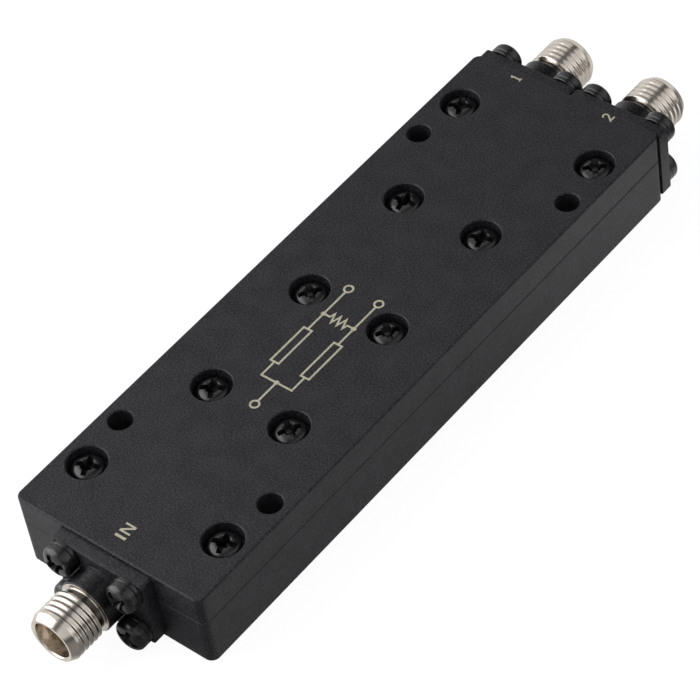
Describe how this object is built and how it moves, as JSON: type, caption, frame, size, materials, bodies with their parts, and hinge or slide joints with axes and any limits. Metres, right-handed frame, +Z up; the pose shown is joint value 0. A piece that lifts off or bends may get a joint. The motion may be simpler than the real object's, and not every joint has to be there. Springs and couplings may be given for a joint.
{
  "type": "rf power splitter",
  "caption": "Flat black rectangular two-way RF power splitter with a threaded coaxial socket at one end, a pair of them at the other, and screw-down mounting holes.",
  "frame": {"origin": "under the middle of the housing, on the plane of its flat underside", "axes": "+Y along the housing from the input connector to the outputs, +X across it towards output 2, +Z up out of the cover"},
  "size_m": [0.0256, 0.0984, 0.01],
  "materials": {
    "housing_paint": "fine-grained matt black paint on machined aluminium",
    "black_screws": "semi-gloss black plated steel",
    "connector_steel": "bright turned stainless steel barrel, black painted flange and neck",
    "contact_gold": "gold-plated copper alloy",
    "bead_insulator": "translucent amber polyetherimide",
    "bead_glass": "fused glass",
    "board_laminate": "woven laminate",
    "track_copper": "gold flash on copper foil",
    "resistor_ceramic": "glazed chip"
  },
  "bodies": {
    "root": {"base_housing": "housing_paint", "top_cover": "housing_paint", "cover_screws": "black_screws", "circuit_board": "board_laminate", "splitter_track": "track_copper", "balance_resistor_1": "resistor_ceramic", "balance_resistor_2": "resistor_ceramic", "balance_resistor_3": "resistor_ceramic", "balance_resistor_4": "resistor_ceramic", "balance_resistor_5": "resistor_ceramic", "balance_resistor_6": "resistor_ceramic", "balance_resistor_7": "resistor_ceramic", "input_connector_body": "connector_steel", "input_support_bead": "bead_insulator", "input_centre_contact": "contact_gold", "input_glass_bead": "bead_glass", "input_launch_pin": "contact_gold", "input_flange_screws": "black_screws", "output_1_connector_body": "connector_steel", "output_1_support_bead": "bead_insulator", "output_1_centre_contact": "contact_gold", "output_1_glass_bead": "bead_glass", "output_1_launch_pin": "contact_gold", "output_1_flange_screws": "black_screws", "output_2_connector_body": "connector_steel", "output_2_support_bead": "bead_insulator", "output_2_centre_contact": "contact_gold", "output_2_glass_bead": "bead_glass", "output_2_launch_pin": "contact_gold", "output_2_flange_screws": "black_screws"}
  },
  "joints": []
}
